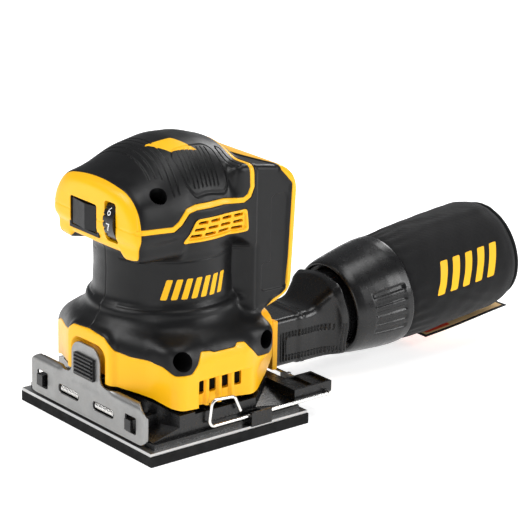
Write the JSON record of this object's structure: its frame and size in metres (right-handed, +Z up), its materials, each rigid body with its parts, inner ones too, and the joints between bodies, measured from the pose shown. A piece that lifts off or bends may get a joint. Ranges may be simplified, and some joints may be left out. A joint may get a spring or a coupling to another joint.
{
  "type": "orbital sander",
  "caption": "Cordless palm orbital sander with a quarter-sheet pad, paper clamps at both ends, soft-grip housing, speed dial, battery dock and cloth dust bag.",
  "frame": {"origin": "foot of the motor axis on the plane of the sanding face", "axes": "+Z up along the motor axis, -Y towards the switch and the front paper clamp, +Y towards the battery dock and the dust bag, +X the side of the speed dial and of the rear clamp lever"},
  "size_m": [0.115, 0.2853, 0.1498],
  "materials": {
    "foam": "closed-cell foam, matte",
    "steel": "bright",
    "nickel_steel": "dull nickel plate",
    "steel_plate_light": "as cast",
    "black_plastic": "fine spark texture",
    "soft_grip": "soft satin",
    "yellow_shell": "semi-gloss",
    "magnet": "coated",
    "copper": "enamelled",
    "board": "solder mask",
    "bag_cloth": "woven, coated inside",
    "tag_cloth": "woven strap"
  },
  "bodies": {
    "housing": {"housing_left": "yellow_shell", "housing_right": "yellow_shell", "overmold_left": "soft_grip", "overmold_right": "soft_grip", "top_cap": "yellow_shell", "top_grip": "soft_grip", "fan_shroud": "black_plastic", "bearing_plate": "steel_plate_light", "lower_bearing": "steel", "upper_bearing": "steel", "stator_core": "steel", "stator_windings": "copper", "isolation_posts": "soft_grip", "circuit_board": "board", "board_capacitors": "black_plastic", "switch_module": "black_plastic", "switch_boot": "soft_grip", "dial_potentiometer": "black_plastic", "terminal_block": "black_plastic", "terminal_blades": "copper", "housing_screws": "steel", "cap_screws": "steel", "dust_port": "yellow_shell"},
    "drive": {"motor_shaft": "steel", "rotor": "steel", "rotor_magnets": "magnet", "cooling_fan": "black_plastic", "counterweight": "steel", "platen_screw": "steel"},
    "platen": {"foam_pad": "foam", "pad_plate": "steel", "platen_carrier": "black_plastic", "platen_bearing": "steel", "clamp_axle": "steel", "clamp_springs": "steel"},
    "front_clamp": {"front_clamp_plate": "nickel_steel", "front_clamp_thumb_pad": "black_plastic"},
    "rear_clamp": {"rear_clamp_wire": "nickel_steel", "rear_clamp_jaw": "nickel_steel"},
    "rocker": {"switch_rocker": "soft_grip"},
    "dial": {"speed_dial": "black_plastic"},
    "adapter": {"dust_adapter": "black_plastic"},
    "bag": {"bag_cap": "black_plastic", "bag_ring": "black_plastic", "bag_frame": "steel", "dust_bag": "bag_cloth", "bag_tag": "tag_cloth"}
  },
  "joints": [
    {"name": "motor_spin", "type": "hinge", "parent": "housing", "child": "drive", "pos_m": [0, 0, 0.058], "axis": [0, 0, 1], "continuous": true},
    {"name": "platen_orbit", "type": "hinge", "parent": "drive", "child": "platen", "pos_m": [0, 0.0008, 0.016], "axis": [0, 0, 1], "continuous": true},
    {"name": "front_clamp_press", "type": "hinge", "parent": "platen", "child": "front_clamp", "pos_m": [0, -0.04595, 0.017], "axis": [-1, 0, 0], "range_deg": [0, 10], "stiffness_Nm_per_rad": 1.2, "springref_deg": -11.46},
    {"name": "rear_clamp_lift", "type": "hinge", "parent": "platen", "child": "rear_clamp", "pos_m": [0.0553, 0.066, 0.0124], "axis": [-1, 0, 0], "range_deg": [0, 20]},
    {"name": "switch_rock", "type": "hinge", "parent": "housing", "child": "rocker", "pos_m": [-0.0075, -0.0399, 0.113], "axis": [0, 0, 1], "range_deg": [0, 10]},
    {"name": "dial_turn", "type": "hinge", "parent": "housing", "child": "dial", "pos_m": [0.01545, -0.0326, 0.1145], "axis": [1, 0, 0], "range_deg": [-40, 200]},
    {"name": "dust_slide", "type": "slide", "parent": "housing", "child": "adapter", "axis": [0, 1, 0], "range_m": [0, 0.03]},
    {"name": "bag_twist", "type": "hinge", "parent": "adapter", "child": "bag", "pos_m": [0, 0.111, 0.0342], "axis": [0, 0.9954, 0.0958], "range_deg": [0, 20]}
  ],
  "couplings": [
    {"joint": "platen_orbit", "follows": "motor_spin", "ratio": -1}
  ]
}
